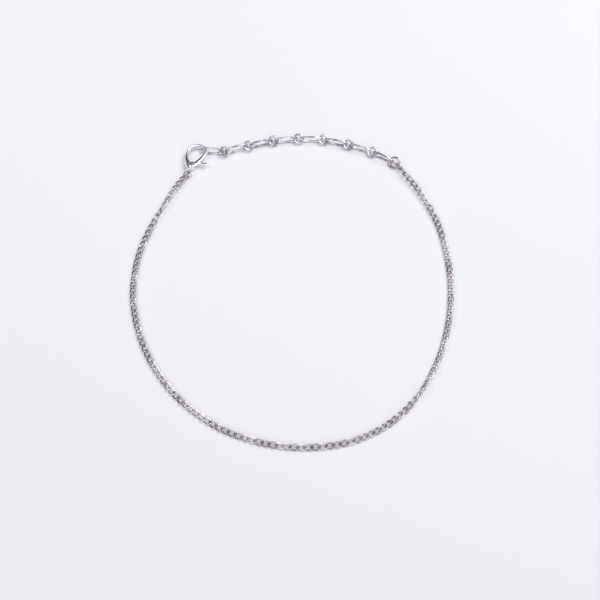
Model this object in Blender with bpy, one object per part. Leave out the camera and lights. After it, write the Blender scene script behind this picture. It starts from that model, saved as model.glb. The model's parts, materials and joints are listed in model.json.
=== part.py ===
"""Chain anklet: a fine curb chain, an extender of rings and long links, and a lobster clasp.

The anklet lies in an open loop on a level surface, Z up. Its pieces follow one route, clockwise seen
from above: from the clasp's hook along the extender, round the curb chain and back to the clasp's eye.
"""
import math
from bisect import bisect_left

import bmesh
import bpy
from mathutils import Matrix, Vector

MM = 0.001

# Daylight between pieces that hook into each other, and between pieces that turn in each other
CURB_GAP = 0.10 * MM
LINK_GAP = 0.22 * MM
TURN_GAP = 0.12 * MM
# Play between the first long link and the hook, and between the gate's tip and the hook's
HOOK_GAP = 0.72 * MM
END_GAP = 0.50 * MM
GATE_TIP_GAP = 0.36 * MM

# Curb chain: wire, width over a link, distance from link to link, and the turn of each link's ends
# out of its own plane, which lets the chain lie flat
CURB_WIRE = 0.36 * MM
CURB_WIDTH = 1.66 * MM
CURB_PITCH = 1.65 * MM
CURB_TWIST = math.radians(-46)
CURB_SQUARENESS = 2.7
# Rise of the chain for each length along it, where its ends climb to the rings that hold them
CURB_CLIMB = 0.025

# Extender
LONG_LINK_WIRE = 0.48 * MM
LONG_LINK_LENGTH = 6.23 * MM
LONG_LINK_WIDTH = 2.30 * MM
LONG_LINK_SQUARENESS = 2.9
ROUND_LINK_WIRE = 0.50 * MM
ROUND_LINK_DIAMETER = 2.78 * MM
END_RING_WIRE = 0.50 * MM
END_RING_DIAMETER = 3.15 * MM
CLASP_RING_WIRE = 0.42 * MM
CLASP_RING_DIAMETER = 2.35 * MM
CLASP_RING_ROLL = math.radians(72)

# Lobster clasp
CLASP_LENGTH = 10.0 * MM
CLASP_HEADING = math.radians(77.5)
CLASP_HEIGHT = 2.2 * MM
ARM_WIDTH = 0.95 * MM
EYE_DIAMETER = 2.15 * MM
EYE_WIRE = 0.42 * MM
EYE_HEIGHT = 0.60 * MM
BOSS_DIAMETER = 0.155 * CLASP_LENGTH
BOSS_BEVEL = 0.018 * CLASP_LENGTH
SLOT_REACH = 0.25 * CLASP_LENGTH
SLOT_BACK = 0.035 * CLASP_LENGTH
PIN_DIAMETER = 0.42 * MM
LEVER_THICKNESS = 0.7 * MM
GATE_WIDTH = 0.15 * CLASP_LENGTH
TAB_REACH = 0.29 * CLASP_LENGTH
TRIGGER_SWING = math.radians(26)

# How finely round pieces are faceted
WIRE_SIDES = 5
LINK_SIDES = 10
RING_SIDES = 12
CLASP_SIDES = 10
EYE_SIDES = 14
PIN_SIDES = 16

# Where the clasp's hook carries the extender
HOOK_PLACE = Vector((-22.50, 38.60)) * MM

# Route, from the hook to the clasp's eye: x and y in mm, and the chain's roll in degrees,
# which is 0 flat and positive with the loop's outer edge up
CHAIN_ROUTE = (
    (-18.0, 38.3, 0),
    (-5.3, 41.75, 0),
    (8.0, 42.15, 0),
    (20.6, 38.3, 0),
    (26.3, 35.0, -84),
    (29.5, 30.8, -22),
    (32.6, 26.0, 12),
    (36.5, 17.3, 20),
    (38.5, 7.9, 23),
    (39.0, -1.6, 24),
    (38.0, -11.0, 25),
    (35.6, -19.7, 26),
    (32.9, -25.6, 38),
    (30.4, -29.8, 66),
    (28.4, -32.5, 112),
    (25.6, -35.5, 148),
    (20.4, -39.4, 158),
    (13.2, -42.5, 160),
    (5.5, -43.7, 160),
    (-2.2, -43.5, 160),
    (-9.8, -41.8, 160),
    (-17.0, -38.8, 160),
    (-23.7, -34.1, 162),
    (-29.4, -28.2, 162),
    (-34.1, -20.8, 162),
    (-37.4, -12.3, 163),
    (-39.0, -3.1, 164),
    (-38.4, 6.3, 170),
    (-36.4, 13.2, 200),
    (-34.9, 17.0, 240),
    (-33.4, 20.4, 290),
    (-31.6, 24.0, 330),
    (-29.6, 27.7, 362),
)

# Roll in degrees of each long link and of the ring after it, the last ring being the end ring
EXTENDER_ROLLS = (
    (82, 12),
    (84, 18),
    (88, 20),
    (89, 22),
    (90, 24),
    (92, 26),
    (95, 26),
    (98, 30),
)

# The clasp's hook, from its shoulder round to its tip: place along and across the clasp from the eye,
# as shares of its length, then width as a share of the arm's and height as a share of the clasp's
HOOK_SECTIONS = (
    (0.090, -0.012, 1.60, 1.00),
    (0.205, -0.066, 1.85, 1.00),
    (0.315, -0.138, 1.50, 0.92),
    (0.415, -0.172, 1.18, 0.80),
    (0.520, -0.185, 1.00, 0.70),
    (0.640, -0.180, 0.95, 0.62),
    (0.755, -0.130, 0.96, 0.58),
    (0.830, -0.040, 0.98, 0.55),
    (0.845, 0.082, 0.98, 0.50),
    (0.802, 0.192, 0.94, 0.44),
    (0.738, 0.262, 0.86, 0.38),
    (0.658, 0.284, 0.74, 0.36),
)
HOOK_BEARING_ROW = 10
PIVOT_PLACE = (0.195, 0.030)

# The trigger's gate and thumb tab: distance out and bow to the outside as shares of the arm's reach,
# then width and thickness as shares of the gate's width and the lever's thickness
GATE_SECTIONS = (
    (0.00, 0.000, 0.60, 0.9),
    (0.16, 0.030, 1.00, 1.0),
    (0.36, 0.056, 0.94, 1.1),
    (0.62, 0.058, 0.82, 1.1),
    (0.85, 0.026, 0.66, 1.0),
    (1.00, 0.000, 0.52, 0.9),
)
TAB_SECTIONS = (
    (0.00, 0.000, 0.74, 0.9),
    (0.55, 0.000, 0.50, 0.9),
    (0.85, 0.000, 0.68, 1.1),
    (1.00, 0.000, 0.52, 1.0),
)
TAB_ROOT = 0.32
TAB_ANGLE = math.radians(66)

CURB_SILVER = ("curb_silver", (0.58, 0.56, 0.54, 1), 0.24)
EXTENDER_SILVER = ("extender_silver", (0.66, 0.65, 0.66, 1), 0.20)
CLASP_SILVER = ("clasp_silver", (0.80, 0.80, 0.81, 1), 0.22)


class Route:
    """A smooth line through chosen places, read by its length from the start."""

    STEPS = 24

    def __init__(self, places):
        """places are (x, y, roll) rows, in metres and radians."""
        rows = [Vector(place) for place in places]
        ends = [rows[0] * 2 - rows[1]] + rows + [rows[-1] * 2 - rows[-2]]
        self.rows = []
        for before, first, second, after in zip(ends, ends[1:], ends[2:], ends[3:]):
            for step in range(self.STEPS):
                self.rows.append(catmull_rom(before, first, second, after, step / self.STEPS))
        self.rows.append(rows[-1])
        self.lengths = [0.0]
        for row, following in zip(self.rows, self.rows[1:]):
            self.lengths.append(self.lengths[-1] + (following.xy - row.xy).length)

    @property
    def length(self):
        return self.lengths[-1]

    def at(self, distance):
        """The place and roll at a distance along the route, also a little past its ends."""
        index = min(max(bisect_left(self.lengths, distance), 1), len(self.rows) - 1)
        start, end = self.rows[index - 1], self.rows[index]
        share = (distance - self.lengths[index - 1]) / (self.lengths[index] - self.lengths[index - 1])
        row = start.lerp(end, share)
        return row.xy, row.z


def catmull_rom(before, first, second, after, share):
    """A point between first and second on a smooth curve through four points."""
    linear = (second - before) * share
    square = (before * 2 - first * 5 + second * 4 - after) * share ** 2
    cube = (first * 3 - before - second * 3 + after) * share ** 3
    return first + (linear + square + cube) / 2


def clear_scene():
    for old in list(bpy.data.objects):
        bpy.data.objects.remove(old, do_unlink=True)


def make_material(name, colour, roughness):
    material = bpy.data.materials.new(name)
    material.use_nodes = True
    shader = material.node_tree.nodes["Principled BSDF"]
    shader.inputs["Base Color"].default_value = colour
    shader.inputs["Metallic"].default_value = 1.0
    shader.inputs["Roughness"].default_value = roughness
    return material


def add_object(name, bm, material=None):
    """Put a finished mesh into the scene as a named object."""
    bmesh.ops.recalc_face_normals(bm, faces=bm.faces)
    mesh = bpy.data.meshes.new(name)
    bm.to_mesh(mesh)
    bm.free()
    mesh.shade_smooth()
    mesh.set_sharp_from_angle(angle=math.radians(50))
    piece = bpy.data.objects.new(name, mesh)
    bpy.context.scene.collection.objects.link(piece)
    if material:
        mesh.materials.append(material)
    return piece


def section_radius(diameter, sides):
    """Corner radius of a polygon with the area of a round wire."""
    return diameter / 2 * math.sqrt(2 * math.pi / (sides * math.sin(2 * math.pi / sides)))


def flat_radius(diameter, sides):
    """Distance from such a polygon's middle to its flats."""
    return section_radius(diameter, sides) * math.cos(math.pi / sides)


def oval(half_length, half_width, corners, squareness):
    """Places round an oval in its own plane, with a flat step across each end.

    half_length reaches to the middle of the flat end step.
    """
    power = 2 / squareness
    reach = half_length / math.cos(math.pi / corners) ** power
    places = []
    for corner in range(corners):
        angle = (corner + 0.5) * 2 * math.pi / corners
        x = math.copysign(abs(math.cos(angle)) ** power, math.cos(angle)) * reach
        y = math.copysign(abs(math.sin(angle)) ** power, math.sin(angle)) * half_width
        places.append(Vector((x, y, 0)))
    return places


def wire_rings(bm, places, diameter):
    """Wire sections round a closed plane line, each with a flat facing the middle."""
    radius = section_radius(diameter, WIRE_SIDES)
    rings = []
    for index, place in enumerate(places):
        along = (places[(index + 1) % len(places)] - places[index - 1]).normalized()
        inward = Vector((-along.y, along.x, 0))
        ring = []
        for side in range(WIRE_SIDES):
            angle = (side + 0.5) * 2 * math.pi / WIRE_SIDES
            offset = inward * math.cos(angle) + Vector((0, 0, math.sin(angle)))
            ring.append(bm.verts.new(place + offset * radius))
        rings.append(ring)
    return rings


def skin(bm, rings, closed, bare=()):
    """Join each ring of corners to the next with faces, apart from the inward faces named as bare."""
    count = len(rings) if closed else len(rings) - 1
    sides = len(rings[0])
    for index in range(count):
        ring, following = rings[index], rings[(index + 1) % len(rings)]
        for side in range(sides):
            if side == sides - 1 and index in bare:
                continue
            after = (side + 1) % sides
            bm.faces.new((ring[side], ring[after], following[after], following[side]))


def closed_link(places, diameter):
    """A bent and closed wire as a mesh of its own."""
    bm = bmesh.new()
    skin(bm, wire_rings(bm, places, diameter), closed=True)
    return bm


def placement(route, distance, roll, height, span):
    """Matrix for a piece of the chain, rolled by roll about its length.

    Its middle and its length follow the straight line between the route's places a span either way.
    """
    before, after = route.at(distance - span)[0], route.at(distance + span)[0]
    middle, along = (before + after) / 2, after - before
    turn = Matrix.Rotation(math.atan2(along.y, along.x), 4, "Z") @ Matrix.Rotation(roll, 4, "X")
    return Matrix.Translation((middle.x, middle.y, height)) @ turn


def rest_height(points, roll):
    """Height at which a rolled piece just touches the surface it lies on."""
    return -min(point.y * math.sin(roll) + point.z * math.cos(roll) for point in points)


def curb_inner_half():
    return (CURB_PITCH + CURB_GAP) / 2


def curb_link_places():
    end = curb_inner_half() + flat_radius(CURB_WIRE, WIRE_SIDES)
    return oval(end, (CURB_WIDTH - CURB_WIRE) / 2, LINK_SIDES, CURB_SQUARENESS)


def twist_link(vertices):
    """Turn a link's two ends out of its plane, one way each, so that the chain lies flat."""
    reach = max(vertex.co.x for vertex in vertices)
    for vertex in vertices:
        vertex.co.rotate(Matrix.Rotation(CURB_TWIST * vertex.co.x / reach, 3, "X"))


def curb_length(name, route, distances, held, material):
    """A length of curb chain, its links fused where each bears on the next.

    held has the distance and the height at each end where the chain climbs to a ring.
    """
    bm = bmesh.new()
    near_end, far_end = LINK_SIDES - 1, LINK_SIDES // 2 - 1
    necks = []
    for index, distance in enumerate(distances):
        rings = wire_rings(bm, curb_link_places(), CURB_WIRE)
        vertices = [vertex for ring in rings for vertex in ring]
        twist_link(vertices)
        first, last = index == 0, index == len(distances) - 1
        bare = ([] if last else [near_end]) + ([] if first else [far_end])
        skin(bm, rings, closed=True, bare=bare)
        roll = route.at(distance)[1]
        lifts = [ring_height - CURB_CLIMB * abs(distance - place) for place, ring_height in held]
        height = max([rest_height([vertex.co for vertex in vertices], roll)] + lifts)
        spot = placement(route, distance, roll, height, CURB_PITCH / 2)
        bmesh.ops.transform(bm, matrix=spot, verts=vertices)
        if not first:
            necks.append(necks.pop() + open_edges(rings, far_end))
        if not last:
            necks.append(open_edges(rings, near_end))
    for edges in necks:
        bmesh.ops.bridge_loops(bm, edges=edges)
    bmesh.ops.triangulate(bm, faces=[face for face in bm.faces if len(face.verts) > 3])
    return add_object(name, bm, material)


def open_edges(rings, index):
    """The four edges round the inward face that was left out between two of a link's sections."""
    ring, following = rings[index], rings[(index + 1) % len(rings)]
    corners = {ring[0], ring[-1], following[0], following[-1]}
    return [edge for corner in (ring[0], following[-1]) for edge in corner.link_edges
            if edge.other_vert(corner) in corners]


def ring_mesh(diameter, wire):
    radius = (diameter - wire) / 2
    places = oval(radius * math.cos(math.pi / RING_SIDES), radius, RING_SIDES, squareness=2)
    return closed_link(places, wire)


def long_link_mesh():
    end = (LONG_LINK_LENGTH - LONG_LINK_WIRE) / 2
    places = oval(end, (LONG_LINK_WIDTH - LONG_LINK_WIRE) / 2, RING_SIDES, LONG_LINK_SQUARENESS)
    return closed_link(places, LONG_LINK_WIRE)


def inner_reach(diameter, wire):
    """Distance from a ring's middle to the inside of its wire."""
    return diameter / 2 - wire


def add_on_route(name, bm, route, distance, roll, height, material, span=CURB_PITCH / 2):
    bm.transform(placement(route, distance, roll, height, span))
    return add_object(name, bm, material)


def long_link_height(roll):
    """Height of a long link's middle where it stands on the surface at its roll."""
    bm = long_link_mesh()
    height = rest_height([vertex.co for vertex in bm.verts], roll)
    bm.free()
    return height


def build_extender(route, material, ring_material):
    """The long links, the round links and the end ring, with the ring's distance and height."""
    long_inner = LONG_LINK_LENGTH / 2 - LONG_LINK_WIRE
    round_step = long_inner + inner_reach(ROUND_LINK_DIAMETER, ROUND_LINK_WIRE) - LINK_GAP
    end_step = long_inner + inner_reach(END_RING_DIAMETER, END_RING_WIRE) - END_GAP
    hook_half = ARM_WIDTH * HOOK_SECTIONS[HOOK_BEARING_ROW][2] / 2
    distance = long_inner - hook_half - HOOK_GAP
    rolls = [(math.radians(link_roll), math.radians(ring_roll)) for link_roll, ring_roll in EXTENDER_ROLLS]
    heights = [long_link_height(link_roll) for link_roll, _ in rolls]
    for number, (link_roll, ring_roll) in enumerate(rolls, start=1):
        height = heights[number - 1]
        add_on_route(f"long_link_{number}", long_link_mesh(), route, distance, link_roll, height, material,
                     span=round_step)
        if number < len(rolls):
            distance += round_step
            ring = ring_mesh(ROUND_LINK_DIAMETER, ROUND_LINK_WIRE)
            middle = (height + heights[number]) / 2
            add_on_route(f"round_link_{number}", ring, route, distance, ring_roll, middle, material)
            distance += round_step
    distance += end_step
    ring = ring_mesh(END_RING_DIAMETER, END_RING_WIRE)
    add_on_route("end_ring", ring, route, distance, rolls[-1][1], heights[-1], ring_material)
    return distance, heights[-1]


def build_curb_chain(route, start, start_height, end, end_height, material):
    """Fill the route between the end ring and the clasp ring with links, in two lengths that meet."""
    play = LINK_GAP
    first = start + inner_reach(END_RING_DIAMETER, END_RING_WIRE) + curb_inner_half() - play
    last = end - inner_reach(CLASP_RING_DIAMETER, CLASP_RING_WIRE) - curb_inner_half() + play
    steps = round((last - first) / CURB_PITCH)
    distances = [first + (last - first) * step / steps for step in range(steps + 1)]
    middle = len(distances) // 2
    held = ((distances[0], start_height), (distances[-1], end_height))
    curb_length("curb_chain_right", route, distances[:middle], held, material)
    curb_length("curb_chain_left", route, distances[middle:], held, material)


def clasp_frame():
    """Matrix of the clasp: its middle is the eye's, +X runs to the hook and +Y to the loop's outside."""
    row = HOOK_SECTIONS[HOOK_BEARING_ROW]
    turn = Matrix.Rotation(CLASP_HEADING, 4, "Z")
    hook = turn @ Vector((row[0], -row[1], 0)) * CLASP_LENGTH
    eye = HOOK_PLACE - hook.xy
    return Matrix.Translation((eye.x, eye.y, CLASP_HEIGHT / 2)) @ turn


def bar(sections, places, sides=CLASP_SIDES):
    """A closed bar of rounded section along places, each with a width and a height."""
    bm = bmesh.new()
    rings = []
    for index, (place, (width, height)) in enumerate(zip(places, sections)):
        before, after = places[max(index - 1, 0)], places[min(index + 1, len(places) - 1)]
        along = (after - before).normalized()
        across = Vector((-along.y, along.x, 0))
        ring = []
        for side in range(sides):
            angle = (side + 0.5) * 2 * math.pi / sides
            offset = across * math.cos(angle) * width / 2 + Vector((0, 0, math.sin(angle) * height / 2))
            ring.append(bm.verts.new(place + offset))
        rings.append(ring)
    skin(bm, rings, closed=False)
    bm.faces.new(rings[0])
    bm.faces.new(rings[-1])
    return bm


def disc(diameter, height, place, sides, bevel=0.0):
    """An upright round disc centred on a place."""
    bm = bmesh.new()
    bmesh.ops.create_cone(bm, cap_ends=True, segments=sides, radius1=diameter / 2, radius2=diameter / 2,
                          depth=height, matrix=Matrix.Translation(place))
    if bevel:
        rims = [edge for edge in bm.edges if abs(edge.verts[0].co.z - edge.verts[1].co.z) < height / 2]
        bmesh.ops.bevel(bm, geom=rims, offset=bevel, segments=2, profile=0.5, affect="EDGES", material=-1)
    return bm


def combine(target, name, bm, operation):
    """Join a shape to an object, or cut it away, with an exact Boolean applied to the mesh."""
    tool = add_object(name, bm)
    modifier = target.modifiers.new(name, "BOOLEAN")
    modifier.object = tool
    modifier.operation = operation
    modifier.solver = "EXACT"
    graph = bpy.context.evaluated_depsgraph_get()
    mesh = bpy.data.meshes.new_from_object(target.evaluated_get(graph))
    target.modifiers.clear()
    target.data = mesh
    bpy.data.objects.remove(tool, do_unlink=True)


def settle(piece, material):
    """Give a combined piece its material and smooth shading."""
    piece.data.materials.clear()
    piece.data.materials.append(material)
    piece.data.shade_smooth()
    piece.data.set_sharp_from_angle(angle=math.radians(40))


def pivot():
    return Vector((PIVOT_PLACE[0], -PIVOT_PLACE[1], 0)) * CLASP_LENGTH


def gate_reach():
    """The line of the closed gate in the clasp's own frame, from its pivot to just short of the hook."""
    tip = Vector((HOOK_SECTIONS[-1][0], -HOOK_SECTIONS[-1][1], 0)) * CLASP_LENGTH
    line = tip - pivot()
    return line.normalized() * (line.length - GATE_TIP_GAP)


def hook_mesh():
    places = [Vector((row[0], -row[1], 0)) * CLASP_LENGTH for row in HOOK_SECTIONS]
    sections = [(row[2] * ARM_WIDTH, row[3] * CLASP_HEIGHT) for row in HOOK_SECTIONS]
    return bar(sections, places)


def eye_mesh():
    radius = (EYE_DIAMETER - EYE_WIRE) / 2
    places = oval(radius * math.cos(math.pi / EYE_SIDES), radius, EYE_SIDES, squareness=2)
    bm = closed_link(places, EYE_WIRE)
    stretch = EYE_HEIGHT / EYE_WIRE
    bmesh.ops.scale(bm, vec=(1, 1, stretch), verts=bm.verts)
    return bm


def slot_mesh():
    """The slot in the boss: room for the lever's hub and for its swing."""
    height = LEVER_THICKNESS * 1.1 + 2 * TURN_GAP
    length = SLOT_REACH + SLOT_BACK
    half = GATE_WIDTH / 2 + TURN_GAP
    open_side = gate_reach()
    open_side.rotate(Matrix.Rotation(TRIGGER_SWING, 3, "Z"))
    bm = bmesh.new()
    bmesh.ops.create_cube(bm, size=1.0)
    bmesh.ops.scale(bm, vec=(length, length + half, height), verts=bm.verts)
    middle = (length / 2 - SLOT_BACK, (half - length) / 2, 0)
    bmesh.ops.translate(bm, vec=middle, verts=bm.verts)
    angle = math.atan2(open_side.y, open_side.x)
    bm.transform(Matrix.Translation(pivot()) @ Matrix.Rotation(angle, 4, "Z"))
    return bm, height


def hub_diameter():
    return BOSS_DIAMETER * 0.68


def build_clasp_body(material):
    """Hook, boss and eye in one casting, with a slot for the lever and a bore for its pin."""
    body = add_object("clasp_body", hook_mesh())
    combine(body, "boss", disc(BOSS_DIAMETER, CLASP_HEIGHT, pivot(), PIN_SIDES, BOSS_BEVEL), "UNION")
    combine(body, "eye", eye_mesh(), "UNION")
    slot, height = slot_mesh()
    combine(body, "slot", slot, "DIFFERENCE")
    recess = disc(hub_diameter() + 2 * TURN_GAP, height, pivot(), PIN_SIDES)
    combine(body, "recess", recess, "DIFFERENCE")
    bore = disc(PIN_DIAMETER + 2 * TURN_GAP, 2 * CLASP_HEIGHT, pivot(), PIN_SIDES)
    combine(body, "bore", bore, "DIFFERENCE")
    body.data.transform(clasp_frame())
    settle(body, material)


def arm_mesh(table, start, reach):
    """A bar of the lever, from its start along its reach."""
    outside = Vector((reach.y, -reach.x, 0))
    places = [start + reach * row[0] + outside * row[1] for row in table]
    sections = [(row[2] * GATE_WIDTH, row[3] * LEVER_THICKNESS) for row in table]
    return bar(sections, places)


def build_trigger(material):
    """The sprung lever: a hub round the pin, the gate and the thumb tab."""
    centre = Vector((0, 0, 0))
    gate = gate_reach()
    tab = gate.normalized() * TAB_REACH
    tab.rotate(Matrix.Rotation(-TAB_ANGLE, 3, "Z"))
    lever = add_object("clasp_trigger", disc(hub_diameter(), LEVER_THICKNESS, centre, PIN_SIDES))
    combine(lever, "gate", arm_mesh(GATE_SECTIONS, centre, gate), "UNION")
    combine(lever, "tab", arm_mesh(TAB_SECTIONS, gate * TAB_ROOT, tab), "UNION")
    bore = disc(PIN_DIAMETER + 2 * TURN_GAP, CLASP_HEIGHT, centre, PIN_SIDES)
    combine(lever, "bore", bore, "DIFFERENCE")
    settle(lever, material)
    lever.matrix_world = clasp_frame() @ Matrix.Translation(pivot())


def build_pin(material):
    pin = add_object("clasp_pin", disc(PIN_DIAMETER, CLASP_HEIGHT - TURN_GAP, pivot(), PIN_SIDES), material)
    pin.data.transform(clasp_frame() @ Matrix.Translation((0, 0, TURN_GAP / 2)))


def build_clasp_ring(route, material):
    """The ring that joins the clasp's eye to the curb chain, with its distance and its height."""
    ring = ring_mesh(CLASP_RING_DIAMETER, CLASP_RING_WIRE)
    height = rest_height([vertex.co for vertex in ring.verts], CLASP_RING_ROLL)
    hole = inner_reach(EYE_DIAMETER, EYE_WIRE)
    distance = route.length - hole - inner_reach(CLASP_RING_DIAMETER, CLASP_RING_WIRE) + LINK_GAP
    add_on_route("clasp_ring", ring, route, distance, CLASP_RING_ROLL, height, material)
    return distance, height


def anklet_route():
    """The route through the chosen places, from the hook's bearing to the clasp's eye."""
    eye = clasp_frame().translation
    rows = [(x * MM, y * MM, math.radians(roll)) for x, y, roll in CHAIN_ROUTE]
    start = (HOOK_PLACE.x, HOOK_PLACE.y, rows[0][2])
    end = (eye.x, eye.y, rows[-1][2])
    return Route([start] + rows + [end])


def centre_on_origin():
    """Move the anklet so that the middle of its footprint is over the origin."""
    bpy.context.view_layer.update()
    pieces = list(bpy.data.objects)
    corners = [piece.matrix_world @ vertex.co for piece in pieces for vertex in piece.data.vertices]
    lows = [min(corner[axis] for corner in corners) for axis in range(3)]
    highs = [max(corner[axis] for corner in corners) for axis in range(3)]
    shift = Matrix.Translation((-(lows[0] + highs[0]) / 2, -(lows[1] + highs[1]) / 2, -lows[2]))
    for piece in pieces:
        piece.matrix_world = shift @ piece.matrix_world


def main():
    clear_scene()
    curb = make_material(*CURB_SILVER)
    extender = make_material(*EXTENDER_SILVER)
    clasp = make_material(*CLASP_SILVER)
    route = anklet_route()
    start, start_height = build_extender(route, extender, curb)
    end, end_height = build_clasp_ring(route, curb)
    build_curb_chain(route, start, start_height, end, end_height, curb)
    build_clasp_body(clasp)
    build_trigger(clasp)
    build_pin(clasp)
    centre_on_origin()


main()
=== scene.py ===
"""Looks of the chain anklet: fine links, rings, clasp, their silver finishes, the studio and camera.

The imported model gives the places. The route of the fine chain repeats the part's own few points, and
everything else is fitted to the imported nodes.
"""
import json
import logging
import math
import random
from bisect import bisect_left
from dataclasses import dataclass, field
from enum import Enum

import bmesh
import bpy
import numpy as np
from mathutils import Matrix, Vector


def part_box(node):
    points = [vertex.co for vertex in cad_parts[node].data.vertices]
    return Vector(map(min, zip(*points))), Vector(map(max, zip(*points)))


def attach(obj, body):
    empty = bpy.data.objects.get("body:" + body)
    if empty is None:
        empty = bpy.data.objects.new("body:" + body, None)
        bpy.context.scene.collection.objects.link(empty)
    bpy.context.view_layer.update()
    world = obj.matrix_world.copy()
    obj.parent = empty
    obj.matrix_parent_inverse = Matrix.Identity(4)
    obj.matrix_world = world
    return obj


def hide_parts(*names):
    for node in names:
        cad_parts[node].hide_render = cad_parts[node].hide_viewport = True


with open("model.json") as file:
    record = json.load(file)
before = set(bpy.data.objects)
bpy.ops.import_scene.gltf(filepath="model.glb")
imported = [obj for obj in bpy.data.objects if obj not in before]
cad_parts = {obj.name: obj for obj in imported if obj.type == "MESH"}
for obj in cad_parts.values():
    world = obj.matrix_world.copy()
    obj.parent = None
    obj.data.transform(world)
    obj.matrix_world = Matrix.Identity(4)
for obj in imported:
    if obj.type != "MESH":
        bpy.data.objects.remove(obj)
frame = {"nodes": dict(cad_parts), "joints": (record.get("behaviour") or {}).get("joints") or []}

MM = 0.001
LOG = logging.getLogger("anklet")

Colour = tuple[float, float, float]

# Where the clasp's hook carries the extender
HOOK_PLACE = Vector((-22.50, 38.60, 0)) * MM

# Route of the chain from the clasp's hook round to its eye: x and y in mm, and roll in degrees
CHAIN_ROUTE = (
    (-18.0, 38.3, 0),
    (-5.3, 41.75, 0),
    (8.0, 42.15, 0),
    (20.6, 38.3, 0),
    (26.3, 35.0, -84),
    (29.5, 30.8, -22),
    (32.6, 26.0, 12),
    (36.5, 17.3, 20),
    (38.5, 7.9, 23),
    (39.0, -1.6, 24),
    (38.0, -11.0, 25),
    (35.6, -19.7, 26),
    (32.9, -25.6, 38),
    (30.4, -29.8, 66),
    (28.4, -32.5, 112),
    (25.6, -35.5, 148),
    (20.4, -39.4, 158),
    (13.2, -42.5, 160),
    (5.5, -43.7, 160),
    (-2.2, -43.5, 160),
    (-9.8, -41.8, 160),
    (-17.0, -38.8, 160),
    (-23.7, -34.1, 162),
    (-29.4, -28.2, 162),
    (-34.1, -20.8, 162),
    (-37.4, -12.3, 163),
    (-39.0, -3.1, 164),
    (-38.4, 6.3, 170),
    (-36.4, 13.2, 200),
    (-34.9, 17.0, 240),
    (-33.4, 20.4, 290),
    (-31.6, 24.0, 330),
    (-29.6, 27.7, 362),
)


class Body(Enum):
    """The bodies that pieces ride on."""

    ANKLET = "anklet"
    TRIGGER = "trigger"


class Slot(Enum):
    """The record's material slots."""

    CURB = "curb_silver"
    EXTENDER = "extender_silver"
    CLASP = "clasp_silver"


@dataclass(frozen=True)
class Silver:
    """A polished silver finish with an uneven tone and fine polishing marks.

    Clouds turn the tone from dull to bright between the patch edges. The dark and bright patches are
    partly the metal's uneven tone and partly painted shade and painted reflection, laid at random. The
    marks vary the roughness by the spread. With uses_link_tone, each link of the chain has a tone of its
    own.
    """

    name: str
    bright: Colour
    dull: Colour
    roughness: float
    spread: float
    cloud_size: float
    mark_size: float
    mark_depth: float
    uses_link_tone: bool = False
    cloud_detail: float = 3.0
    mark_detail: float = 5.0
    patch_edges: tuple[float, float] = (0.36, 0.64)
    bump_strength: float = 0.35
    link_share: float = 0.6

    def build(self) -> bpy.types.Material:
        """Make the material.

        Returns:
            The finished node material, read in object coordinates.
        """
        material = bpy.data.materials.new(self.name)
        material.use_nodes = True
        tree = material.node_tree
        nodes, links = tree.nodes, tree.links
        shader = nodes["Principled BSDF"]
        shader.inputs["Metallic"].default_value = 1.0
        place = nodes.new("ShaderNodeTexCoord").outputs["Object"]
        clouds = self._noise(tree, place, self.cloud_size, self.cloud_detail)
        marks = self._noise(tree, place, self.mark_size, self.mark_detail)
        tone = self._link_tone(tree, clouds) if self.uses_link_tone else clouds
        colour = nodes.new("ShaderNodeMix")
        colour.data_type = "RGBA"
        colour.inputs["A"].default_value = (*self.dull, 1.0)
        colour.inputs["B"].default_value = (*self.bright, 1.0)
        # Painted shade and reflection: this sharpens the clouds into dark and bright patches that stand
        # partly for the metal's tone and partly for dark and bright reflections
        tone_and_shade_patches = nodes.new("ShaderNodeMapRange")
        tone_and_shade_patches.inputs["From Min"].default_value = self.patch_edges[0]
        tone_and_shade_patches.inputs["From Max"].default_value = self.patch_edges[1]
        links.new(tone, tone_and_shade_patches.inputs["Value"])
        links.new(tone_and_shade_patches.outputs["Result"], colour.inputs["Factor"])
        links.new(colour.outputs["Result"], shader.inputs["Base Color"])
        gloss = nodes.new("ShaderNodeMapRange")
        gloss.inputs["To Min"].default_value = self.roughness - self.spread
        gloss.inputs["To Max"].default_value = self.roughness + self.spread
        links.new(marks, gloss.inputs["Value"])
        links.new(gloss.outputs["Result"], shader.inputs["Roughness"])
        bump = nodes.new("ShaderNodeBump")
        bump.inputs["Strength"].default_value = self.bump_strength
        bump.inputs["Distance"].default_value = self.mark_depth
        links.new(marks, bump.inputs["Height"])
        links.new(bump.outputs["Normal"], shader.inputs["Normal"])
        return material

    @staticmethod
    def _noise(tree: bpy.types.NodeTree, place: bpy.types.NodeSocket, size: float,
               detail: float) -> bpy.types.NodeSocket:
        """Add a noise to the material.

        Args:
            tree: The material's nodes.
            place: The coordinates that it reads.
            size: The size of its largest grains.
            detail: How many finer noises lie on it.

        Returns:
            Its value.
        """
        noise = tree.nodes.new("ShaderNodeTexNoise")
        noise.inputs["Scale"].default_value = 1.0 / size
        noise.inputs["Detail"].default_value = detail
        tree.links.new(place, noise.inputs["Vector"])
        return noise.outputs["Fac"]

    def _link_tone(self, tree: bpy.types.NodeTree, clouds: bpy.types.NodeSocket) -> bpy.types.NodeSocket:
        """Mix the clouds with each link's own tone.

        Args:
            tree: The material's nodes.
            clouds: The value of the clouds.

        Returns:
            The mixed value.
        """
        own = tree.nodes.new("ShaderNodeAttribute")
        own.attribute_name = Chain.TONE
        mean = tree.nodes.new("ShaderNodeMix")
        mean.inputs["Factor"].default_value = self.link_share
        tree.links.new(clouds, mean.inputs["A"])
        tree.links.new(own.outputs["Fac"], mean.inputs["B"])
        return mean.outputs["Result"]


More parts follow.
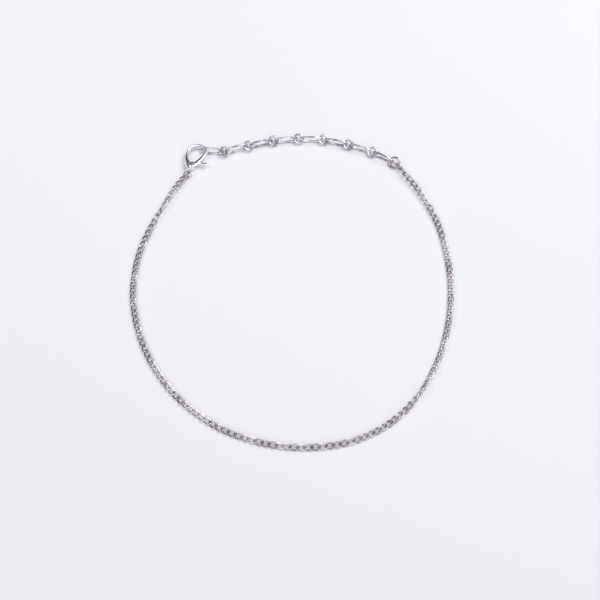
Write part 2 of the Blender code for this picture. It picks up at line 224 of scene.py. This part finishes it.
CURB_FINISH = Silver("dark_polished_silver", bright=(0.80, 0.74, 0.75), dull=(0.42, 0.37, 0.38),
                     roughness=0.10, spread=0.04, cloud_size=1.2 * MM, mark_size=0.10 * MM,
                     mark_depth=0.004 * MM, uses_link_tone=True)
RING_FINISH = Silver("dark_ring_silver", bright=(0.50, 0.44, 0.46), dull=(0.32, 0.27, 0.29),
                     roughness=0.14, spread=0.05, cloud_size=0.9 * MM, mark_size=0.12 * MM,
                     mark_depth=0.004 * MM)
# The extender's very dark dull end is partly painted shade: its dark patches stand in for dark
# reflections on the wires
EXTENDER_FINISH = Silver("polished_silver", bright=(0.92, 0.90, 0.94), dull=(0.30, 0.28, 0.34),
                         roughness=0.08, spread=0.03, cloud_size=1.6 * MM, mark_size=0.12 * MM,
                         mark_depth=0.004 * MM)
CLASP_FINISH = Silver("bright_cast_silver", bright=(0.95, 0.95, 0.97), dull=(0.86, 0.87, 0.91),
                      roughness=0.27, spread=0.06, cloud_size=1.8 * MM, mark_size=0.14 * MM,
                      mark_depth=0.006 * MM)


class Route:
    """A smooth line through the chosen places, read by its length from the start."""

    STEPS = 24

    def __init__(self, places: list[tuple]) -> None:
        """Set up the line.

        Args:
            places: (x, y, roll) rows, in metres and radians.
        """
        rows = [Vector(place) for place in places]
        ends = [rows[0] * 2 - rows[1]] + rows + [rows[-1] * 2 - rows[-2]]
        self.rows = []
        for before, first, second, after in zip(ends, ends[1:], ends[2:], ends[3:]):
            for step in range(self.STEPS):
                self.rows.append(self.catmull_rom(before, first, second, after, step / self.STEPS))
        self.rows.append(rows[-1])
        self.lengths = [0.0]
        for row, following in zip(self.rows, self.rows[1:]):
            self.lengths.append(self.lengths[-1] + (following.xy - row.xy).length)

    @staticmethod
    def catmull_rom(before: Vector, first: Vector, second: Vector, after: Vector, share: float) -> Vector:
        """Find a point on a smooth curve through four points.

        Args:
            before: The point that the curve comes from.
            first: The point at share 0.
            second: The point at share 1.
            after: The point that the curve goes on to.
            share: The share of the way from first to second.

        Returns:
            The point.
        """
        linear = (second - before) * share
        square = (before * 2 - first * 5 + second * 4 - after) * share ** 2
        cube = (first * 3 - before - second * 3 + after) * share ** 3
        return first + (linear + square + cube) / 2

    def at(self, distance: float) -> tuple[Vector, float]:
        """Read the route at a distance along it.

        Args:
            distance: The length from the route's start.

        Returns:
            The place and the roll there.
        """
        index = min(max(bisect_left(self.lengths, distance), 1), len(self.rows) - 1)
        start, end = self.rows[index - 1], self.rows[index]
        share = (distance - self.lengths[index - 1]) / (self.lengths[index] - self.lengths[index - 1])
        row = start.lerp(end, share)
        return row.xy, row.z

    def nearest(self, place: Vector) -> float:
        """Return the distance along the route of its nearest point to a place."""
        gaps = [(row.xy - place.xy).length for row in self.rows]
        return self.lengths[gaps.index(min(gaps))]


@dataclass
class WireLoop:
    """A closed loop of round wire: a ring, a long link or a curb link."""

    # The halves are those of the wire's middle line, squareness 2 is an oval, twist turns each end out
    # of the loop's plane, and the seam is the cut where the wire's ends meet
    half_length: float
    half_width: float
    wire: float
    squareness: float = 2.0
    twist: float = 0.0
    steps: int = 32
    sides: int = 10
    seam: float = 0.0

    def centreline(self, angle: float) -> Vector:
        """Find the middle of the wire.

        Args:
            angle: The angle round the loop.

        Returns:
            The place, before the twist.
        """
        power = 2 / self.squareness
        x = math.copysign(abs(math.cos(angle)) ** power, math.cos(angle)) * self.half_length
        y = math.copysign(abs(math.sin(angle)) ** power, math.sin(angle)) * self.half_width
        return Vector((x, y, 0))

    def build(self) -> bmesh.types.BMesh:
        """Spin a round section into a ring, then bend the ring to the loop's own line.

        Returns:
            The loop about the origin, its length along X and its width along Y.
        """
        bm = bmesh.new()
        radius = self.half_length
        stand = Matrix.Translation((radius, 0, 0)) @ Matrix.Rotation(math.pi / 2, 4, "X")
        bmesh.ops.create_circle(bm, segments=self.sides, radius=self.wire / 2, matrix=stand)
        gap = self.seam / radius
        if gap:
            start = Matrix.Rotation(gap / 2, 3, "Z")
            bmesh.ops.rotate(bm, verts=bm.verts, cent=(0, 0, 0), matrix=start)
        bmesh.ops.spin(bm, geom=bm.verts[:] + bm.edges[:], cent=(0, 0, 0), axis=(0, 0, 1),
                       angle=2 * math.pi - gap, steps=self.steps, use_merge=not gap)
        if gap:
            rims = [edge for edge in bm.edges if len(edge.link_faces) == 1]
            bmesh.ops.holes_fill(bm, edges=rims)
        for vertex in bm.verts:
            self._bend(vertex, radius)
        bmesh.ops.recalc_face_normals(bm, faces=bm.faces)
        return bm

    def _bend(self, vertex: bmesh.types.BMVert, radius: float) -> None:
        """Move a corner of the ring to its place on the loop and turn it by the twist.

        Args:
            vertex: The corner.
            radius: The ring's radius to the middle of its wire.
        """
        angle = math.atan2(vertex.co.y, vertex.co.x)
        outward = vertex.co.xy.length - radius
        step = math.pi / self.steps
        along = self.centreline(angle + step) - self.centreline(angle - step)
        away = Vector((along.y, -along.x, 0)).normalized()
        place = self.centreline(angle) + away * outward + Vector((0, 0, vertex.co.z))
        reach = self.half_length + self.wire / 2
        place.rotate(Matrix.Rotation(self.twist * place.x / reach, 3, "X"))
        vertex.co = place


def finish_piece(name: str, bm: bmesh.types.BMesh, material: bpy.types.Material, body: Body,
                 nodes: list[str], sharp: float = 60.0) -> bpy.types.Object:
    """Turn a built mesh into a piece that rides on a body and stands for its nodes.

    Args:
        name: The piece's name.
        bm: The built mesh, which is freed.
        material: Its finish.
        body: The body that it rides on.
        nodes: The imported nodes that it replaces.
        sharp: Angle in degrees past which an edge stays sharp.

    Returns:
        The piece.
    """
    mesh = bpy.data.meshes.new(name)
    bm.to_mesh(mesh)
    bm.free()
    mesh.shade_smooth()
    mesh.set_sharp_from_angle(angle=math.radians(sharp))
    mesh.materials.append(material)
    piece = bpy.data.objects.new(name, mesh)
    bpy.context.scene.collection.objects.link(piece)
    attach(piece, body.value)
    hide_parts(*nodes)
    LOG.info("%s stands for %s", name, ", ".join(nodes))
    return piece


@dataclass
class NodeFit:
    """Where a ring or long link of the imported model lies."""

    node: str
    middle: Vector = field(init=False)
    turn: Matrix = field(init=False)

    def __post_init__(self) -> None:
        """Read the node's middle and its own axes: length, width and the normal, which looks up."""
        bm = bmesh.new()
        bm.from_mesh(frame["nodes"][self.node].data)
        bmesh.ops.remove_doubles(bm, verts=bm.verts, dist=MM / 1000)
        corners = np.array([vertex.co for vertex in bm.verts])
        bm.free()
        self.middle = Vector(corners.mean(axis=0))
        axes = np.linalg.eigh(np.cov((corners - corners.mean(axis=0)).T))[1]
        normal, length = Vector(axes[:, 0]), Vector(axes[:, 2])
        if normal.z < 0:
            normal.negate()
        self.turn = Matrix((length, normal.cross(length), normal)).transposed().to_4x4()

    def matrix(self) -> Matrix:
        """Return the transform from a loop about the origin to the node's place."""
        return Matrix.Translation(self.middle) @ self.turn


@dataclass
class Extender:
    """The long links, the round links and the two jump rings, each half to the wire's middle."""

    link_wire: float = 0.48 * MM
    link_half_length: float = 2.875 * MM
    link_half_width: float = 0.91 * MM
    link_squareness: float = 2.9
    ring_wire: float = 0.50 * MM
    ring_half: float = 1.14 * MM
    end_wire: float = 0.50 * MM
    end_half: float = 1.325 * MM
    clasp_wire: float = 0.42 * MM
    clasp_half: float = 0.965 * MM
    seam: float = 0.025 * MM
    link_count: int = 8
    link_steps: int = 56
    ring_steps: int = 48
    sides: int = 16

    def build(self, bright: bpy.types.Material, dark: bpy.types.Material) -> None:
        """Build every link and ring at its node's place.

        Args:
            bright: Finish of the links and the rings between them.
            dark: Finish of the two jump rings that hold the fine chain.
        """
        long_link = WireLoop(self.link_half_length, self.link_half_width, self.link_wire,
                             self.link_squareness, steps=self.link_steps, sides=self.sides)
        round_link = self._ring(self.ring_half, self.ring_wire)
        for number in range(1, self.link_count + 1):
            self._place(f"oval_link_{number}", f"long_link_{number}", long_link, bright, Slot.EXTENDER)
        for number in range(1, self.link_count):
            self._place(f"ring_link_{number}", f"round_link_{number}", round_link, bright, Slot.EXTENDER)
        end_ring = self._ring(self.end_half, self.end_wire)
        clasp_ring = self._ring(self.clasp_half, self.clasp_wire)
        self._place("chain_end_ring", "end_ring", end_ring, dark, Slot.CURB)
        self._place("clasp_jump_ring", "clasp_ring", clasp_ring, dark, Slot.CURB)

    def _ring(self, half: float, wire: float) -> WireLoop:
        """Return a round ring with a seam."""
        return WireLoop(half, half, wire, steps=self.ring_steps, sides=self.sides, seam=self.seam)

    @staticmethod
    def _place(name: str, node: str, loop: WireLoop, material: bpy.types.Material, slot: Slot) -> None:
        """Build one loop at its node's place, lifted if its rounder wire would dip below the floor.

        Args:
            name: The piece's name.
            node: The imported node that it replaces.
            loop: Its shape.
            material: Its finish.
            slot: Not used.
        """
        bm = loop.build()
        bm.transform(NodeFit(node).matrix())
        dip = min(vertex.co.z for vertex in bm.verts)
        bmesh.ops.translate(bm, vec=(0, 0, max(-dip, 0)), verts=bm.verts)
        finish_piece(name, bm, material, Body.ANKLET, [node])


@dataclass
class Chain:
    """The fine curb chain: twisted links of round wire between the two jump rings.

    The insides are the two rings' inner radii, and the chain climbs to each ring that holds it.
    """

    TONE = "link_tone"

    route: Route
    wire: float = 0.35 * MM
    width: float = 1.62 * MM
    pitch: float = 1.65 * MM
    gap: float = 0.10 * MM
    ring_gap: float = 0.22 * MM
    twist: float = math.radians(-46)
    squareness: float = 2.7
    climb: float = 0.025
    end_ring_inside: float = 1.075 * MM
    clasp_ring_inside: float = 0.755 * MM
    steps: int = 28
    sides: int = 10
    seed: int = 4

    def inner_half(self) -> float:
        """Return half the length of a link's hole."""
        return (self.pitch + self.gap) / 2

    def link(self) -> WireLoop:
        """Return the link that the chain repeats."""
        return WireLoop(self.inner_half() + self.wire / 2, (self.width - self.wire) / 2, self.wire,
                        self.squareness, self.twist, steps=self.steps, sides=self.sides)

    def build(self, material: bpy.types.Material) -> None:
        """Build the chain as two lengths that meet at the front of the loop.

        Args:
            material: The chain's finish.
        """
        start_fit, end_fit = NodeFit("end_ring"), NodeFit("clasp_ring")
        start, end = self.route.nearest(start_fit.middle), self.route.nearest(end_fit.middle)
        first = start + self.end_ring_inside + self.inner_half() - self.ring_gap
        last = end - self.clasp_ring_inside - self.inner_half() + self.ring_gap
        steps = round((last - first) / self.pitch)
        distances = [first + (last - first) * step / steps for step in range(steps + 1)]
        held = ((distances[0], start_fit.middle.z), (distances[-1], end_fit.middle.z))
        middle = len(distances) // 2
        tones = random.Random(self.seed)
        self._length("fine_chain_right", "curb_chain_right", distances[:middle], held, tones, material)
        self._length("fine_chain_left", "curb_chain_left", distances[middle:], held, tones, material)

    def _length(self, name: str, node: str, distances: list[float], held: tuple,
                tones: random.Random, material: bpy.types.Material) -> None:
        """Build the links at their distances along the route as one piece.

        Args:
            name: The piece's name.
            node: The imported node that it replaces.
            distances: The middle of each link along the route.
            held: The distance and the height at each end where the chain climbs to a ring.
            tones: The source of each link's own tone.
            material: The chain's finish.
        """
        pattern = self.link().build()
        corners = [vertex.co.copy() for vertex in pattern.verts]
        link_mesh = bpy.data.meshes.new("link_pattern")
        pattern.to_mesh(link_mesh)
        pattern.free()
        chain = bmesh.new()
        tone_layer = chain.verts.layers.float.new(self.TONE)
        for distance in distances:
            roll = self.route.at(distance)[1]
            lifts = [height - self.climb * abs(distance - place) for place, height in held]
            rest = -min(corner.y * math.sin(roll) + corner.z * math.cos(roll) for corner in corners)
            count = len(chain.verts)
            chain.from_mesh(link_mesh)
            chain.verts.ensure_lookup_table()
            new = chain.verts[count:]
            bmesh.ops.transform(chain, matrix=self._spot(distance, roll, max([rest] + lifts)), verts=new)
            tone = tones.random()
            for vertex in new:
                vertex[tone_layer] = tone
        bpy.data.meshes.remove(link_mesh)
        finish_piece(name, chain, material, Body.ANKLET, [node])

    def _spot(self, distance: float, roll: float, height: float) -> Matrix:
        """Find a link's place, with its length along the route.

        Args:
            distance: The link's middle along the route.
            roll: Its turn about its own length.
            height: The height of its middle.

        Returns:
            The transform from a link about the origin.
        """
        before = self.route.at(distance - self.pitch / 2)[0]
        after = self.route.at(distance + self.pitch / 2)[0]
        middle, along = (before + after) / 2, after - before
        turn = Matrix.Rotation(math.atan2(along.y, along.x), 4, "Z") @ Matrix.Rotation(roll, 4, "X")
        return Matrix.Translation((middle.x, middle.y, height)) @ turn


@dataclass
class Clasp:
    """The lobster clasp: a cast body of eye, shoulder and hook, a sprung lever and its pin."""

    # Hook from the shoulder to the tip: along and across from the eye as shares of the length, then
    # width as a share of the arm's and height as a share of the clasp's. The first long link hangs at
    # the bearing row.
    HOOK_BEARING_ROW = 10
    HOOK = (
        (0.090, -0.012, 1.60, 1.00),
        (0.205, -0.066, 1.85, 1.00),
        (0.315, -0.138, 1.50, 0.92),
        (0.415, -0.172, 1.18, 0.80),
        (0.520, -0.185, 1.00, 0.70),
        (0.640, -0.180, 0.95, 0.62),
        (0.755, -0.130, 0.96, 0.58),
        (0.830, -0.040, 0.98, 0.55),
        (0.845, 0.082, 0.98, 0.50),
        (0.802, 0.192, 0.94, 0.44),
        (0.738, 0.262, 0.86, 0.38),
        (0.658, 0.284, 0.74, 0.36),
    )
    # Lever's arms: distance out and bow to the outside as shares of the reach, then shares of the
    # gate's width and the lever's thickness
    GATE = (
        (0.00, 0.000, 0.60, 0.9),
        (0.16, 0.030, 1.00, 1.0),
        (0.36, 0.056, 0.94, 1.1),
        (0.62, 0.058, 0.82, 1.1),
        (0.85, 0.026, 0.66, 1.0),
        (1.00, 0.000, 0.52, 0.9),
    )
    TAB = (
        (0.00, 0.000, 0.74, 0.9),
        (0.55, 0.000, 0.50, 0.9),
        (0.85, 0.000, 0.68, 1.1),
        (1.00, 0.000, 0.52, 1.0),
    )

    pivot_place: Vector
    swing: float
    length: float = 10.0 * MM
    heading: float = math.radians(77.5)
    height: float = 2.2 * MM
    arm_width: float = 0.95 * MM
    eye_diameter: float = 2.15 * MM
    eye_wire: float = 0.42 * MM
    eye_height: float = 0.60 * MM
    boss_diameter: float = 1.55 * MM
    boss_bevel: float = 0.18 * MM
    slot_reach: float = 2.5 * MM
    slot_back: float = 0.35 * MM
    pin_diameter: float = 0.42 * MM
    lever_thickness: float = 0.7 * MM
    gate_width: float = 1.50 * MM
    tab_reach: float = 2.9 * MM
    tab_root: float = 0.32
    tab_angle: float = math.radians(66)
    turn_gap: float = 0.12 * MM
    gate_tip_gap: float = 0.36 * MM
    pivot_share: tuple[float, float] = (0.195, 0.030)
    hub_share: float = 0.68
    thickest_share: float = 1.1
    small_bevel: float = 0.06 * MM
    grain: float = 0.035 * MM
    softness: float = 0.5
    soft_passes: int = 8
    sides: int = 24
    arm_steps: int = 5
    disc_sides: int = 48
    eye_sides: int = 16
    bevel_steps: int = 3
    sharp_angle: float = 40.0

    def pivot(self) -> Vector:
        """Return the lever's axis in the clasp's own frame."""
        return Vector((self.pivot_share[0], -self.pivot_share[1], 0)) * self.length

    def hook_row(self, row: int) -> Vector:
        """Return the place of one of the hook's rows in the clasp's own frame."""
        return Vector((self.HOOK[row][0], -self.HOOK[row][1], 0)) * self.length

    def own_frame(self) -> Matrix:
        """Find the clasp's frame, from the place of its lever's joint.

        Returns:
            The frame, with its middle in the eye and +X towards the hook.
        """
        turn = Matrix.Rotation(self.heading, 4, "Z")
        eye = self.pivot_place - (turn @ self.pivot())
        return Matrix.Translation(eye) @ turn

    def gate_line(self) -> Vector:
        """Return the closed gate's reach from its axis."""
        line = self.hook_row(-1) - self.pivot()
        return line.normalized() * (line.length - self.gate_tip_gap)

    def _arm(self, bm: bmesh.types.BMesh, places: list[Vector], sections: list[tuple]) -> None:
        """Bridge rounded sections into a closed arm.

        Args:
            bm: The mesh that the arm is added to.
            places: The middle of each section.
            sections: The width and the height of each.
        """
        knots = [Vector((*place.xy, *section)) for place, section in zip(places, sections)]
        ends = [knots[0] * 2 - knots[1]] + knots + [knots[-1] * 2 - knots[-2]]
        rows = []
        for four in zip(ends, ends[1:], ends[2:], ends[3:]):
            rows += [Route.catmull_rom(*four, step / self.arm_steps) for step in range(self.arm_steps)]
        rows.append(knots[-1])
        loops = []
        for index, row in enumerate(rows):
            before, after = rows[max(index - 1, 0)], rows[min(index + 1, len(rows) - 1)]
            heading = math.atan2(after.y - before.y, after.x - before.x)
            spot = (Matrix.Translation((row.x, row.y, 0)) @ Matrix.Rotation(heading, 4, "Z")
                    @ Matrix.Rotation(math.pi / 2, 4, "Y") @ Matrix.Diagonal((row.w, row.z, 1, 1)))
            made = bmesh.ops.create_circle(bm, segments=self.sides, radius=0.5, matrix=spot)
            loops.append(made["verts"])
        for ring, following in zip(loops, loops[1:]):
            rims = self._rim(ring) + self._rim(following)
            bmesh.ops.bridge_loops(bm, edges=rims)
        for end in (loops[0], loops[-1]):
            bmesh.ops.contextual_create(bm, geom=self._rim(end))

    @staticmethod
    def _rim(ring: list[bmesh.types.BMVert]) -> list[bmesh.types.BMEdge]:
        """Return the edges that run round one section."""
        corners = set(ring)
        return list({edge for vertex in ring for edge in vertex.link_edges
                     if edge.other_vert(vertex) in corners})

    def _disc(self, bm: bmesh.types.BMesh, diameter: float, height: float, place: Vector,
              bevel: float = 0.0) -> None:
        """Add an upright disc.

        Args:
            bm: The mesh that the disc is added to.
            diameter: Its diameter.
            height: Its height.
            place: Its middle.
            bevel: The rounding of its rims.
        """
        made = bmesh.ops.create_cone(bm, cap_ends=True, segments=self.disc_sides, radius1=diameter / 2,
                                     radius2=diameter / 2, depth=height, matrix=Matrix.Translation(place))
        if bevel:
            corners = set(made["verts"])
            rims = {edge for vertex in corners for edge in vertex.link_edges
                    if abs(edge.verts[0].co.z - edge.verts[1].co.z) < height / 2}
            bmesh.ops.bevel(bm, geom=list(rims), offset=bevel, segments=self.bevel_steps, profile=0.5,
                            affect="EDGES", material=-1)

    @staticmethod
    def _object(name: str, bm: bmesh.types.BMesh) -> bpy.types.Object:
        """Put a mesh into the scene for a while.

        Args:
            name: The helper's name.
            bm: Its mesh, which is freed.

        Returns:
            The helper.
        """
        bmesh.ops.recalc_face_normals(bm, faces=bm.faces)
        mesh = bpy.data.meshes.new(name)
        bm.to_mesh(mesh)
        bm.free()
        helper = bpy.data.objects.new(name, mesh)
        bpy.context.scene.collection.objects.link(helper)
        return helper

    def _fuse(self, bm: bmesh.types.BMesh, cuts: list[bmesh.types.BMesh]) -> bmesh.types.BMesh:
        """Melt shapes that run into each other into one casting with soft corners, then cut it.

        Args:
            bm: The shapes, which is freed.
            cuts: Meshes to cut away after the melting.

        Returns:
            The finished casting.
        """
        casting = self._object("casting", bm)
        melt = casting.modifiers.new("melt", "REMESH")
        melt.mode = "VOXEL"
        melt.voxel_size = self.grain
        melt.adaptivity = 0.0
        soften = casting.modifiers.new("soften", "SMOOTH")
        soften.factor = self.softness
        soften.iterations = self.soft_passes
        helpers = [casting]
        for index, cut in enumerate(cuts):
            tool = self._object(f"cut_{index}", cut)
            tool.hide_render = True
            helpers.append(tool)
            modifier = casting.modifiers.new(f"cut_{index}", "BOOLEAN")
            modifier.object = tool
            modifier.operation = "DIFFERENCE"
            modifier.solver = "EXACT"
        graph = bpy.context.evaluated_depsgraph_get()
        mesh = bpy.data.meshes.new_from_object(casting.evaluated_get(graph))
        result = bmesh.new()
        result.from_mesh(mesh)
        bpy.data.meshes.remove(mesh)
        for helper in helpers:
            bpy.data.objects.remove(helper, do_unlink=True)
        return result

    def build(self, material: bpy.types.Material) -> None:
        """Build the body, the lever and the pin.

        Args:
            material: The clasp's finish.
        """
        self._build_body(material)
        self._build_lever(material)
        self._build_pin(material)

    def _build_body(self, material: bpy.types.Material) -> None:
        """Cast the body and cut the lever's slot and the pin's bore into it.

        Args:
            material: The clasp's finish.
        """
        bm = bmesh.new()
        places = [self.hook_row(row) for row in range(len(self.HOOK))]
        sections = [(row[2] * self.arm_width, row[3] * self.height) for row in self.HOOK]
        self._arm(bm, places, sections)
        self._disc(bm, self.boss_diameter, self.height, self.pivot(), self.boss_bevel)
        half = (self.eye_diameter - self.eye_wire) / 2
        eye = WireLoop(half, half, self.eye_wire, steps=self.disc_sides, sides=self.eye_sides).build()
        bmesh.ops.scale(eye, vec=(1, 1, self.eye_height / self.eye_wire), verts=eye.verts)
        eye_mesh = bpy.data.meshes.new("eye_pattern")
        eye.to_mesh(eye_mesh)
        eye.free()
        bm.from_mesh(eye_mesh)
        bpy.data.meshes.remove(eye_mesh)
        body = self._fuse(bm, self._body_cuts())
        body.transform(self.own_frame())
        finish_piece("clasp_casting", body, material, Body.ANKLET, ["clasp_body"],
                     self.sharp_angle)

    def _hub(self) -> float:
        """Return the diameter of the lever's hub."""
        return self.boss_diameter * self.hub_share

    def _body_cuts(self) -> list[bmesh.types.BMesh]:
        """Make what is cut out of the body.

        Returns:
            The slot with the lever's swing, the hub's recess and the pin's bore.
        """
        height = self.lever_thickness * self.thickest_share + 2 * self.turn_gap
        length, half = self.slot_reach + self.slot_back, self.gate_width / 2 + self.turn_gap
        slot = bmesh.new()
        bmesh.ops.create_cube(slot, size=1.0)
        bmesh.ops.scale(slot, vec=(length, length + half, height), verts=slot.verts)
        middle = (length / 2 - self.slot_back, (half - length) / 2, 0)
        bmesh.ops.translate(slot, vec=middle, verts=slot.verts)
        line = self.gate_line()
        angle = math.atan2(line.y, line.x) + self.swing
        slot.transform(Matrix.Translation(self.pivot()) @ Matrix.Rotation(angle, 4, "Z"))
        recess, bore = bmesh.new(), bmesh.new()
        self._disc(recess, self._hub() + 2 * self.turn_gap, height, self.pivot())
        self._disc(bore, self.pin_diameter + self.turn_gap, 2 * self.height, self.pivot())
        return [slot, recess, bore]

    def _build_lever(self, material: bpy.types.Material) -> None:
        """Cast the lever with its gate and thumb tab and bore it for the pin.

        Args:
            material: The clasp's finish.
        """
        bm = bmesh.new()
        centre = Vector((0, 0, 0))
        gate = self.gate_line()
        tab = gate.normalized() * self.tab_reach
        tab.rotate(Matrix.Rotation(-self.tab_angle, 3, "Z"))
        self._disc(bm, self._hub(), self.lever_thickness, centre, self.small_bevel)
        for table, root, reach in ((self.GATE, centre, gate), (self.TAB, gate * self.tab_root, tab)):
            outside = Vector((reach.y, -reach.x, 0))
            places = [root + reach * row[0] + outside * row[1] for row in table]
            sections = [(row[2] * self.gate_width, row[3] * self.lever_thickness) for row in table]
            self._arm(bm, places, sections)
        bore = bmesh.new()
        self._disc(bore, self.pin_diameter + self.turn_gap, self.height, centre)
        lever = self._fuse(bm, [bore])
        lever.transform(self.own_frame() @ Matrix.Translation(self.pivot()))
        finish_piece("clasp_lever", lever, material, Body.TRIGGER, ["clasp_trigger"],
                     self.sharp_angle)

    def _build_pin(self, material: bpy.types.Material) -> None:
        """Turn the pin with softly rounded ends.

        Args:
            material: The clasp's finish.
        """
        bm = bmesh.new()
        low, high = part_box("clasp_pin")
        middle = (low + high) / 2
        self._disc(bm, self.pin_diameter, high.z - low.z, Vector((0, 0, 0)), self.small_bevel)
        bmesh.ops.translate(bm, vec=middle, verts=bm.verts)
        finish_piece("clasp_rivet", bm, material, Body.ANKLET, ["clasp_pin"], self.sharp_angle)


@dataclass(frozen=True)
class SoftBox:
    """A square soft light that faces the anklet."""

    name: str
    place: tuple[float, float, float]
    size: float
    power: float
    colour: Colour

    def build(self) -> None:
        """Hang the light."""
        light = bpy.data.lights.new(self.name, "AREA")
        light.size = self.size
        light.energy = self.power
        light.color = self.colour
        lamp = bpy.data.objects.new(self.name, light)
        lamp.location = self.place
        lamp.rotation_euler = (-Vector(self.place)).to_track_quat("-Z", "Y").to_euler()
        bpy.context.scene.collection.objects.link(lamp)


@dataclass
class Studio:
    """The pale floor, the soft lights and the camera.

    The window is a bright part of the sky about its axis, with a soft edge between two cosines.
    """

    shift: Vector
    camera_place: Vector = field(default_factory=lambda: Vector((1.935, -150.93, 268.75)) * MM)
    camera_tilt: float = math.radians(28.5)
    lens: float = 75.0
    sensor_width: float = 36.0
    clip_start: float = 0.01
    floor_size: float = 3.0
    floor_drop: float = 0.01 * MM
    floor_colour: Colour = (0.80, 0.806, 0.838)
    floor_roughness: float = 0.9
    window_axis: tuple[float, float, float] = (0.10, -0.53, 0.84)
    window_edge: tuple[float, float] = (0.70, 0.84)
    window_colour: Colour = (0.95, 0.95, 0.97)
    dark_colour: Colour = (0.040, 0.036, 0.050)
    window_strength: float = 1.36
    key: SoftBox = SoftBox("key_light", (0.30, 0.22, 0.55), 0.50, 3.0, (1.0, 0.99, 0.98))
    fill: SoftBox = SoftBox("fill_light", (-0.45, 0.05, 0.50), 0.30, 1.0, (0.96, 0.97, 1.0))

    def build(self) -> None:
        """Build the floor, the lights and the camera."""
        bpy.context.scene.view_settings.view_transform = "Standard"
        self._floor()
        self._sky()
        self.key.build()
        self.fill.build()
        self._camera()

    def _floor(self) -> None:
        """Lay the floor just under the anklet."""
        bm = bmesh.new()
        bmesh.ops.create_grid(bm, x_segments=1, y_segments=1, size=self.floor_size / 2)
        mesh = bpy.data.meshes.new("floor")
        bm.to_mesh(mesh)
        bm.free()
        material = bpy.data.materials.new("floor_paint")
        material.use_nodes = True
        shader = material.node_tree.nodes["Principled BSDF"]
        shader.inputs["Base Color"].default_value = (*self.floor_colour, 1.0)
        shader.inputs["Roughness"].default_value = self.floor_roughness
        mesh.materials.append(material)
        floor = bpy.data.objects.new("floor", mesh)
        floor.location.z = -self.floor_drop
        bpy.context.scene.collection.objects.link(floor)

    def _sky(self) -> None:
        """Light the studio by a wide bright window overhead and behind the camera, dark elsewhere."""
        world = bpy.data.worlds.new("studio")
        bpy.context.scene.world = world
        world.use_nodes = True
        nodes, links = world.node_tree.nodes, world.node_tree.links
        towards = nodes.new("ShaderNodeVectorMath")
        towards.operation = "DOT_PRODUCT"
        towards.inputs[1].default_value = self.window_axis
        links.new(nodes.new("ShaderNodeTexCoord").outputs["Generated"], towards.inputs[0])
        ramp = nodes.new("ShaderNodeValToRGB")
        dark, bright = ramp.color_ramp.elements
        dark.position, bright.position = self.window_edge
        dark.color, bright.color = (*self.dark_colour, 1), (*self.window_colour, 1)
        links.new(towards.outputs["Value"], ramp.inputs["Fac"])
        links.new(ramp.outputs["Color"], nodes["Background"].inputs["Color"])
        nodes["Background"].inputs["Strength"].default_value = self.window_strength

    def _camera(self) -> None:
        """Set the camera at the photograph's viewing angle."""
        data = bpy.data.cameras.new("camera")
        data.lens = self.lens
        data.sensor_width = self.sensor_width
        data.clip_start = self.clip_start
        camera = bpy.data.objects.new("camera", data)
        camera.location = self.camera_place + self.shift
        camera.rotation_euler = (self.camera_tilt, 0, 0)
        bpy.context.scene.collection.objects.link(camera)
        bpy.context.scene.camera = camera


def chain_route(clasp: Clasp) -> tuple[Route, Vector]:
    """Place the route by the clasp, which both scripts share.

    Args:
        clasp: The clasp, placed by its lever's joint.

    Returns:
        The route from the hook's bearing to the clasp's eye, and the shift from its own origin.
    """
    turn = Matrix.Rotation(clasp.heading, 4, "Z")
    raw_eye = HOOK_PLACE - turn @ clasp.hook_row(clasp.HOOK_BEARING_ROW)
    eye = clasp.own_frame().translation
    shift = eye - raw_eye
    rows = [(x * MM + shift.x, y * MM + shift.y, math.radians(roll)) for x, y, roll in CHAIN_ROUTE]
    start = (HOOK_PLACE.x + shift.x, HOOK_PLACE.y + shift.y, rows[0][2])
    return Route([start] + rows + [(eye.x, eye.y, rows[-1][2])]), Vector((*shift.xy, 0))


def main() -> None:
    """Build the anklet's pieces in order, then the studio."""
    logging.basicConfig(level=logging.INFO)
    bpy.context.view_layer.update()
    curb_silver, ring_silver = CURB_FINISH.build(), RING_FINISH.build()
    extender_silver, clasp_silver = EXTENDER_FINISH.build(), CLASP_FINISH.build()
    joint = frame["joints"][0]
    clasp = Clasp(Vector(joint["pos_m"]), math.radians(joint["range_deg"][1]))
    route, shift = chain_route(clasp)
    Chain(route).build(curb_silver)
    Extender().build(extender_silver, ring_silver)
    clasp.build(clasp_silver)
    Studio(shift).build()


if __name__ == "__main__":
    main()
